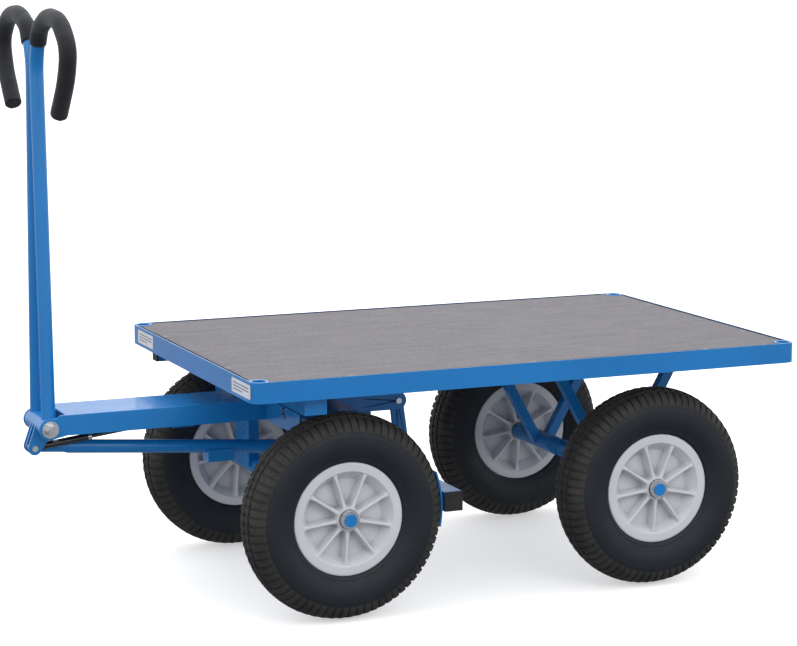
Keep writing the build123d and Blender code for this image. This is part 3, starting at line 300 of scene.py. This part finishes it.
def rim_plastic():
    """Light grey moulded plastic, faintly mottled, with painted shade darkening its corners and pockets."""
    plastic = Surface("rim_plastic", Specular_IOR_Level=0.45)
    # Ambient occlusion blends in a darker grey in corners and pockets: painted shade.
    corner = plastic.node("ShaderNodeAmbientOcclusion", Distance=0.02)
    unshaded_tone = plastic.ramp(plastic.noise(12.0, 4.0), (0.600, 0.615, 0.650), (0.665, 0.678, 0.706))
    painted_corner_shade = plastic.ramp(plastic.noise(70.0, 4.0), (0.430, 0.440, 0.470), (0.540, 0.550, 0.575))
    tone = plastic.mix(plastic.spread(corner.outputs["AO"], 0.0, 1.0, 0.35, 0.85), painted_corner_shade, unshaded_tone)
    plastic.bump(plastic.noise(850.0, 2.0), 0.15, 0.0003)
    return plastic.finish(tone, plastic.spread(plastic.noise(30.0), 0.36, 0.50))


def label_film(name, low, high):
    """Printed film, faintly uneven under its varnish."""
    film = Surface(name, Coat_Weight=0.3, Coat_Roughness=0.2)
    film.bump(film.noise(300.0, 2.0), 0.05, 0.0002)
    return film.finish(film.ramp(film.noise(60.0), low, high), film.spread(film.noise(40.0), 0.3, 0.45))


FINISH = {
    "blue_paint": blue_paint(),
    "phenolic_panel": phenolic_panel(),
    "zinc_steel": zinc_steel(),
    "bronze": bronze(),
    "black_plastic": black_plastic(),
    "grip_foam": grip_foam(),
    "black_enamel": black_enamel(),
    "tyre_rubber": tyre_rubber("tyre_rubber", (0.0060, 0.0095, 0.0150), (0.0105, 0.0145, 0.0215), 0.48),
    "rim_plastic": rim_plastic(),
    "bearing_steel": bearing_steel(),
}
DULL_SCREWS = label_film("dull_screws", (0.035, 0.060, 0.105), (0.055, 0.090, 0.150))
TREAD_RUBBER = tyre_rubber("tread_rubber", (0.0170, 0.0165, 0.0165), (0.0480, 0.0450, 0.0430), 0.60)


# ---------------------------------------------------------------- the CAD's own pieces
WHEELS = ("front_left", "front_right", "rear_left", "rear_right")
EDGE_ROUND = 0.0009
EDGE_ANGLE = 40.0
NO_BEVEL = {"race_balls"} | {"bearings_" + wheel for wheel in WHEELS}


def round_edges(piece):
    """Joins the facets and rounds the sharp edges."""
    weld = piece.modifiers.new("weld", "WELD")
    weld.merge_threshold = JOINED
    bevel = piece.modifiers.new("bevel", "BEVEL")
    bevel.width = EDGE_ROUND
    bevel.segments = 2
    bevel.limit_method = "ANGLE"
    bevel.angle_limit = radians(EDGE_ANGLE)
    bevel.harden_normals = False
    shade = piece.modifiers.new("shade", "WEIGHTED_NORMAL")
    shade.keep_sharp = True


for node_name, node in nodes.items():
    node.data.materials.clear()
    node.data.materials.append(DULL_SCREWS if node_name == "panel_screws" else FINISH[slot_of[node_name]])
    if node_name not in NO_BEVEL:
        round_edges(node)


# ---------------------------------------------------------------- mesh helpers
def piece_from(name, verts, faces, materials, kinds, sharp=35.0):
    """A smooth mesh object; kinds gives each face's material, sharp the angle of its creases."""
    data = bpy.data.meshes.new(name)
    data.from_pydata(verts, [], faces)
    builder = bmesh.new()
    builder.from_mesh(data)
    bmesh.ops.recalc_face_normals(builder, faces=builder.faces)
    builder.to_mesh(data)
    builder.free()
    for material in materials:
        data.materials.append(material)
    for face, kind in zip(data.polygons, kinds):
        face.material_index = kind
        face.use_smooth = True
    data.set_sharp_from_angle(angle=radians(sharp))
    made = bpy.data.objects.new(name, data)
    scene.collection.objects.link(made)
    return made


def closed_grid(rows, columns):
    """Quads over a grid of vertices that closes on itself in both directions."""
    faces = []
    for row in range(rows):
        here = row * columns
        below = (row + 1) % rows * columns
        for column in range(columns):
            right = (column + 1) % columns
            faces.append((here + column, here + right, below + right, below + column))
    return faces


# ---------------------------------------------------------------- tyres
LUGS = 72
# Where the vertices stand in one lug's pitch; the groove between lugs comes after LUG_END.
LUG_PHASES = (0.0, 0.24, 0.48, 0.70, 0.75, 0.86, 0.96)
LUG_END = 0.72
ZIGZAG = 0.0019
ZIGZAG_PEAK = 0.48
ZIGZAG_FOOT = 0.96
# A point inside the casing's wall, from which outwards is told.
CASING_RADIUS = 150.0
# One half of the tyre's outline from the crown to the bead, in mm:
# radius, distance from the middle plane, zigzag share, depth of a groove all round, depth between lugs.
OUTLINE = (
    (200.0, 0.0, 0.0, 0.0, 0.0),
    (199.9, 4.2, 1.0, 0.0, 0.0),
    (199.7, 5.2, 1.0, 3.0, 3.0),
    (199.4, 7.4, 1.0, 3.0, 3.0),
    (199.2, 8.4, 1.0, 0.0, 1.8),
    (198.1, 13.4, 1.0, 0.0, 1.8),
    (196.6, 18.4, 1.0, 0.0, 1.8),
    (196.3, 19.4, 1.0, 3.0, 3.0),
    (195.1, 22.2, 1.0, 3.0, 3.0),
    (194.6, 23.2, 1.0, 0.0, 3.0),
    (193.2, 28.6, 0.4, 0.0, 3.0),
    (190.4, 33.8, 0.0, 0.0, 3.0),
    (186.8, 38.2, 0.0, 0.0, 3.0),
    (182.4, 42.0, 0.0, 0.0, 2.8),
    (177.6, 44.9, 0.0, 0.0, 2.4),
    (173.0, 46.8, 0.0, 0.0, 1.6),
    (169.6, 47.8, 0.0, 0.0, 0.8),
    (168.0, 48.0, 0.0, 0.4, 0.4),
    (166.2, 48.6, 0.0, 0.0, 0.0),
    (158.0, 49.2, 0.0, 0.0, 0.0),
    (151.0, 49.8, 0.0, 0.0, 0.0),
    (144.0, 49.7, 0.0, 0.0, 0.0),
    (137.0, 48.7, 0.0, 0.0, 0.0),
    (130.0, 46.8, 0.0, 0.0, 0.0),
    (124.0, 44.6, 0.0, 0.0, 0.0),
    (119.5, 42.7, 0.0, 0.0, 0.0),
    (118.6, 42.2, 0.0, 0.0, 0.0),
    (117.8, 42.3, 0.0, 0.0, 0.0),
    (116.0, 41.8, 0.0, 0.0, 0.0),
    (113.0, 40.2, 0.0, 0.0, 0.0),
    (110.6, 37.8, 0.0, 0.0, 0.0),
    (110.2, 35.0, 0.0, 0.0, 0.0),
    (103.6, 32.6, 0.0, 0.0, 0.0),
    (101.0, 28.0, 0.0, 0.0, 0.0),
)
# The rows of each half that carry the tread's rubber.
TREAD_ROWS = 16


def tyre(name):
    """A tyre about the Y axis: lugs on the shoulders, zigzag grooves and smooth sidewalls."""
    upper = [(r, y, z, ring, gap) for r, y, z, ring, gap in OUTLINE]
    lower = [(r, -y, -z, ring, gap) for r, y, z, ring, gap in reversed(OUTLINE[1:])]
    outline = upper + lower
    count = len(outline)
    steps = LUGS * len(LUG_PHASES)
    verts = []
    for row, (radius, y, zig, ring, gap) in enumerate(outline):
        before, after = outline[row - 1], outline[(row + 1) % count]
        along = Vector((after[0] - before[0], after[1] - before[1])).normalized()
        inward = Vector((-along.y, along.x))
        if inward.dot(Vector((radius - CASING_RADIUS, y * 0.4))) > 0:
            inward = -inward
        for step in range(steps):
            lug, index = divmod(step, len(LUG_PHASES))
            phase = LUG_PHASES[index]
            depth = gap if phase > LUG_END else ring
            swing = 1.0 - 4.0 * abs(phase - ZIGZAG_PEAK) if phase < ZIGZAG_FOOT else -0.9
            r = (radius + inward.x * depth) / MM
            w = (y + inward.y * depth) / MM + zig * swing * ZIGZAG
            turn = 2 * pi * (lug + phase) / LUGS
            verts.append((r * cos(turn), w, r * sin(turn)))
    faces = closed_grid(count, steps)
    kinds = []
    for row in range(count):
        tread = row < TREAD_ROWS or row >= count - TREAD_ROWS
        kinds += [1 if tread else 0] * steps
    return piece_from(name, verts, faces, [FINISH["tyre_rubber"], TREAD_RUBBER], kinds, 30.0)


# ---------------------------------------------------------------- rims
RIBS = 9
RIB_TURN = 93.0
RIB_WIDTH = 2.3
RIB_SINK = 1.6
# Half the width of a rib with the fillets at its foot, less the rib itself.
RIB_FILLET = 3.4
# Half thicknesses of the flange and the web, in mm from the rim's middle plane.
FLANGE = 38.0
WEB = 13.0
HUB_RADIUS = 23.0
CONE_START = 75.0
CONE_LENGTH = 17.5
FLANGE_START = 93.0
RIM_RADII = (
    20.05, 21.6, 22.8, 23.6, 24.6, 25.8, 28.0, 32.0, 38.0, 45.0, 52.0, 59.0, 66.0, 70.5, 72.6, 74.2, 75.6,
    77.0, 78.6, 81.0, 84.5, 88.0, 89.6, 90.6, 91.4, 92.2, 93.0, 93.8, 94.6, 98.0, 102.0, 106.0, 108.0, 109.2,
)
# Radius and height of the rim's edge and of the well in which the tyre sits.
RIM_EDGE = ((110.0, 36.2), (110.0, 35.1), (103.2, 32.9), (100.4, 30.0))
# Where vertices stand beside a rib: a share of its half width and mm beyond, then shares of the pocket.
RIB_OFFSETS = ((0.0, 0.0), (0.6, 0.0), (1.0, -0.5), (1.0, 0.1), (1.0, 0.7), (1.0, 1.3), (1.0, 2.1), (1.0, 3.4))
POCKET_SHARES = (0.22, 0.5, 0.8, 1.0)


def smooth(value, low, high):
    """0 below low, 1 above high and an even curve between."""
    share = min(1.0, max(0.0, (value - low) / (high - low)))
    return share * share * (3.0 - 2.0 * share)


def rib_half_width(radius):
    """Ribs flare out where they run into the hub and the flange."""
    at_hub = 2.2 * exp(-(radius - HUB_RADIUS) / 8.0)
    at_flange = 2.6 * exp(-max(0.0, FLANGE_START - radius) / 5.0)
    return RIB_WIDTH + at_hub + at_flange


def rim_height(radius, offset):
    """How far the rim's face stands out at a radius and at an offset from a rib's middle."""
    rise = FLANGE - WEB
    top = FLANGE - RIB_SINK
    floor = WEB + rise * max(0.0, min(1.0, (radius - CONE_START) / CONE_LENGTH))
    width = rib_half_width(radius)
    rib = floor + (top - floor) * (1.0 - smooth(offset, width - 0.5, width + 3.2))
    rib = min(rib, top - 0.5 * smooth(offset, 0.0, width))
    hub = WEB + rise * (1.0 - smooth(radius, HUB_RADIUS, HUB_RADIUS + 2.6))
    flange = WEB + rise * smooth(radius, 88.0, 93.6)
    return max(floor, rib, hub, flange) - 0.9 * smooth(radius, 107.0, 109.6)


def rib_sides():
    """For each side of each rib, in order round the rim: the rib's number and its vertices' places."""
    shares = RIB_OFFSETS + tuple((None, share) for share in POCKET_SHARES)
    sides = []
    for rib in range(RIBS):
        sides.append((rib, [(1, *share) for share in shares]))
        sides.append((rib + 1, [(-1, *share) for share in shares[-2:0:-1]]))
    return sides


def rim(name):
    """A moulded rim about the Y axis, the same on both faces."""
    sides = rib_sides()
    columns = sum(len(side) for rib, side in sides)
    rows = [(radius, None) for radius in RIM_RADII] + list(RIM_EDGE)
    halfway = len(rows)
    rows = rows + rows[::-1]
    verts = []
    for row, (radius, fixed) in enumerate(rows):
        face = 1 if row < halfway else -1
        half = radius * pi / RIBS
        width = rib_half_width(radius)
        squeeze = min(1.0, 0.97 * half / (width + RIB_FILLET))
        edge = (width + RIB_FILLET) * squeeze
        for rib, side in sides:
            for direction, scale, extra in side:
                if scale is None:
                    offset = edge + (half - edge) * extra
                else:
                    offset = (scale * width + extra) * squeeze
                turn = radians(360.0 * rib / RIBS + RIB_TURN) + direction * offset / radius
                height = rim_height(radius, offset / squeeze) if fixed is None else fixed
                r = radius / MM
                verts.append((r * cos(turn), face * height / MM, -r * sin(turn)))
    faces = closed_grid(len(rows), columns)
    return piece_from(name, verts, faces, [FINISH["rim_plastic"]], [0] * len(faces), 50.0)


def wheel_pieces(place):
    """The detailed tyre and rim of one wheel, put where the CAD ones are."""
    for make, node_name in ((tyre, "tyre_" + place), (rim, "rim_" + place)):
        low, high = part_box(node_name)
        kind = node_name.split("_")[0]
        if kind in master:
            made = bpy.data.objects.new("detailed_" + node_name, master[kind])
            scene.collection.objects.link(made)
        else:
            made = make("detailed_" + node_name)
            master[kind] = made.data
        made.location = (low + high) / 2
        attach(made, "wheel_" + place)
        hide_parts(node_name)


master = {}
for wheel in WHEELS:
    wheel_pieces(wheel)


# ---------------------------------------------------------------- foam grips
SKIN_CELL = 0.0019
SKIN_LEAST = 0.0014
BORE_REACH = 0.003
SOFTENING = 0.5
SOFTENING_PASSES = 5
DENT_SPREAD = 0.03
DENT_DEPTH = 0.0008


def solid_sleeve(data, wall):
    """Closes the sleeve's bore, since its wall is thin where the tube bends sharply."""
    builder = bmesh.new()
    builder.from_mesh(data)
    bmesh.ops.remove_doubles(builder, verts=builder.verts, dist=JOINED)
    bore = []
    for face in builder.faces:
        middle = face.calc_center_median()
        place, away = wall.find_nearest(middle)[:2]
        if (middle - place).length < BORE_REACH and face.normal.dot(away) < -0.5:
            bore.append(face)
    bmesh.ops.delete(builder, geom=bore, context="FACES")
    rims = [edge for edge in builder.edges if edge.is_boundary]
    bmesh.ops.holes_fill(builder, edges=rims, sides=0)
    builder.to_mesh(data)
    builder.free()


def foam_grip(side):
    """A grip's sleeve as soft foam: remeshed, eased at its ends and faintly uneven."""
    node_name = "grip_" + side
    tube = nodes["drawbar_tube_" + side].data
    corners = [vertex.co for vertex in tube.vertices]
    wall = BVHTree.FromPolygons(corners, [tuple(face.vertices) for face in tube.polygons])
    data = nodes[node_name].data.copy()
    data.name = "foam_" + node_name
    solid_sleeve(data, wall)
    made = bpy.data.objects.new("foam_" + node_name, data)
    scene.collection.objects.link(made)
    skin = made.modifiers.new("skin", "REMESH")
    skin.mode = "VOXEL"
    skin.voxel_size = SKIN_CELL
    soften = made.modifiers.new("soften", "SMOOTH")
    soften.factor = SOFTENING
    soften.iterations = SOFTENING_PASSES
    texture = bpy.data.textures.new("foam_dents", "CLOUDS")
    texture.noise_scale = DENT_SPREAD
    dents = made.modifiers.new("dents", "DISPLACE")
    dents.texture = texture
    dents.strength = DENT_DEPTH
    dents.mid_level = 0.5
    bpy.context.view_layer.update()
    evaluated = made.evaluated_get(bpy.context.evaluated_depsgraph_get())
    final = bpy.data.meshes.new_from_object(evaluated)
    made.modifiers.clear()
    made.data = final
    for vertex in final.vertices:
        place, away = wall.find_nearest(vertex.co)[:2]
        if vertex.normal.dot(away) > 0.3 and (vertex.co - place).dot(away) < SKIN_LEAST:
            vertex.co = place + SKIN_LEAST * away
    final.materials.clear()
    final.materials.append(FINISH["grip_foam"])
    for face in final.polygons:
        face.use_smooth = True
    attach(made, "drawbar")
    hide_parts(node_name)


for grip_side in ("left", "right"):
    foam_grip(grip_side)


# ---------------------------------------------------------------- labels on the front rail
LABEL_WHITE = label_film("label_white", (0.70, 0.71, 0.73), (0.80, 0.81, 0.83))
LABEL_GREY = label_film("label_grey", (0.16, 0.19, 0.24), (0.22, 0.25, 0.30))
LABEL_SIZE = (0.104, 0.027)
LABEL_CORNER = 0.003
LABEL_THICKNESS = 0.00030
LABEL_HEIGHT = 0.4605
STRIP_START = 0.086
STRIP_WIDTH = 0.0026
STRIP_CORNER = 0.0006
STRIP_THICKNESS = 0.00005
# The strips' heights over the label's middle, and their lengths.
STRIPS = ((0.006, 0.086), (0.0, 0.086), (-0.006, 0.052))


def plate(builder, x, centre, size, corner, thickness, kind):
    """Adds a thin rounded plate that faces -X; kind is its material's number."""
    outline = []
    for quarter in range(4):
        cy = centre[0] + (size[0] / 2 - corner) * (1 if quarter in (0, 3) else -1)
        cz = centre[1] + (size[1] / 2 - corner) * (1 if quarter in (0, 1) else -1)
        for step in range(5):
            turn = (quarter + step / 4) * pi / 2
            outline.append((cy + corner * cos(turn), cz + corner * sin(turn)))
    front = [builder.verts.new((x - thickness, y, z)) for y, z in outline]
    back = [builder.verts.new((x, y, z)) for y, z in outline]
    made = [builder.faces.new(front)]
    for step in range(len(outline)):
        after = (step + 1) % len(outline)
        made.append(builder.faces.new((front[after], front[step], back[step], back[after])))
    for face in made:
        face.material_index = kind


def label(name, y):
    """A plain white sticker with three grey strips and no lettering."""
    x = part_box("front_rail")[0].x
    builder = bmesh.new()
    plate(builder, x, (y, LABEL_HEIGHT), LABEL_SIZE, LABEL_CORNER, LABEL_THICKNESS, 0)
    for rise, length in STRIPS:
        centre = (y + (STRIP_START - length) / 2, LABEL_HEIGHT + rise)
        plate(builder, x - LABEL_THICKNESS, centre, (length, STRIP_WIDTH), STRIP_CORNER, STRIP_THICKNESS, 1)
    bmesh.ops.recalc_face_normals(builder, faces=builder.faces)
    data = bpy.data.meshes.new(name)
    builder.to_mesh(data)
    builder.free()
    data.materials.append(LABEL_WHITE)
    data.materials.append(LABEL_GREY)
    made = bpy.data.objects.new(name, data)
    scene.collection.objects.link(made)
    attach(made, "platform")


label("label_near", -0.316)
label("label_far", 0.284)


# ---------------------------------------------------------------- painted shadow strips over the gaps round the panel
# The painted shadow strip's half width and half height, and how far its top stands over the panel.
BEAD_RADIUS = 0.0024
BEAD_CROWN = 0.0012
BEAD_RISE = 0.0009
# How far the strip's middle lies outside the panel's edge, and how far its ends stop from a corner.
BEAD_OUT = 0.0001
BEAD_CORNER = 0.040
BEAD_SIDES = 16
UP = Vector((0.0, 0.0, 1.0))


def painted_gap_shadow():
    """Near-black painted shadow for the panel's gaps: dull streaked tone and fine relief, with no sheen of its
    own.
    """
    strip = Surface("painted_gap_shadow", Specular_IOR_Level=0.0)
    strip.bump(strip.noise(900.0, 3.0), 0.3, 0.0003)
    tone = strip.ramp(strip.noise(400.0, 3.0, (0.2, 1.0, 1.0)), (0.006, 0.006, 0.007), (0.014, 0.014, 0.015))
    return strip.finish(tone, strip.spread(strip.noise(60.0), 0.90, 1.0))


# Near-black painted shadow laid over the gaps between the panel and the rails.
GAP_SHADOW_PAINT = painted_gap_shadow()


def gap_shadow_strip(name, start, end):
    """A thin dull black strip lying over the gap between the panel and a rail: painted shadow in that gap."""
    along = Vector(end) - Vector(start)
    across = along.cross(UP).normalized()
    verts = []
    for centre in (Vector(start), Vector(end)):
        for step in range(BEAD_SIDES):
            turn = 2 * pi * step / BEAD_SIDES
            offset = BEAD_RADIUS * cos(turn) * across + BEAD_CROWN * sin(turn) * UP
            verts.append(tuple(centre + offset))
    faces = [tuple(range(BEAD_SIDES)), tuple(range(BEAD_SIDES, 2 * BEAD_SIDES))]
    for step in range(BEAD_SIDES):
        after = (step + 1) % BEAD_SIDES
        faces.append((step, after, BEAD_SIDES + after, BEAD_SIDES + step))
    made = piece_from(name, verts, faces, [GAP_SHADOW_PAINT], [0] * len(faces))
    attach(made, "platform")


def lay_gap_shadows():
    """Painted shadow strips along the four sides of the panel, stopping short of the corner sockets."""
    low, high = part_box("deck_panel")
    z = high.z + BEAD_RISE - BEAD_CROWN
    for name, y in (("gap_shadow_near", low.y - BEAD_OUT), ("gap_shadow_far", high.y + BEAD_OUT)):
        gap_shadow_strip(name, (low.x + BEAD_CORNER, y, z), (high.x - BEAD_CORNER, y, z))
    for name, x in (("gap_shadow_front", low.x - BEAD_OUT), ("gap_shadow_rear", high.x + BEAD_OUT)):
        gap_shadow_strip(name, (x, low.y + BEAD_CORNER, z), (x, high.y - BEAD_CORNER, z))


lay_gap_shadows()


# ---------------------------------------------------------------- floor
FLOOR_REACH = 400.0
FLOOR_DROP = 0.0005
FLOOR_GLOW = 0.46


def floor():
    """A wide pale floor at the wheels' feet; it lights nothing but itself."""
    surface = Surface("floor", Specular_IOR_Level=0.1, Emission_Strength=FLOOR_GLOW)
    surface.shader.inputs["Emission Color"].default_value = (1.0, 1.0, 1.0, 1.0)
    tone = surface.ramp(surface.noise(1.5), (0.90, 0.90, 0.905), (0.925, 0.925, 0.93))
    material = surface.finish(tone, surface.spread(surface.noise(3.0), 0.75, 0.85))
    builder = bmesh.new()
    bmesh.ops.create_grid(builder, x_segments=16, y_segments=16, size=FLOOR_REACH)
    data = bpy.data.meshes.new("floor")
    builder.to_mesh(data)
    builder.free()
    data.materials.append(material)
    made = bpy.data.objects.new("floor", data)
    made.location.z = -FLOOR_DROP
    made.visible_diffuse = False
    made.visible_glossy = False
    scene.collection.objects.link(made)


floor()
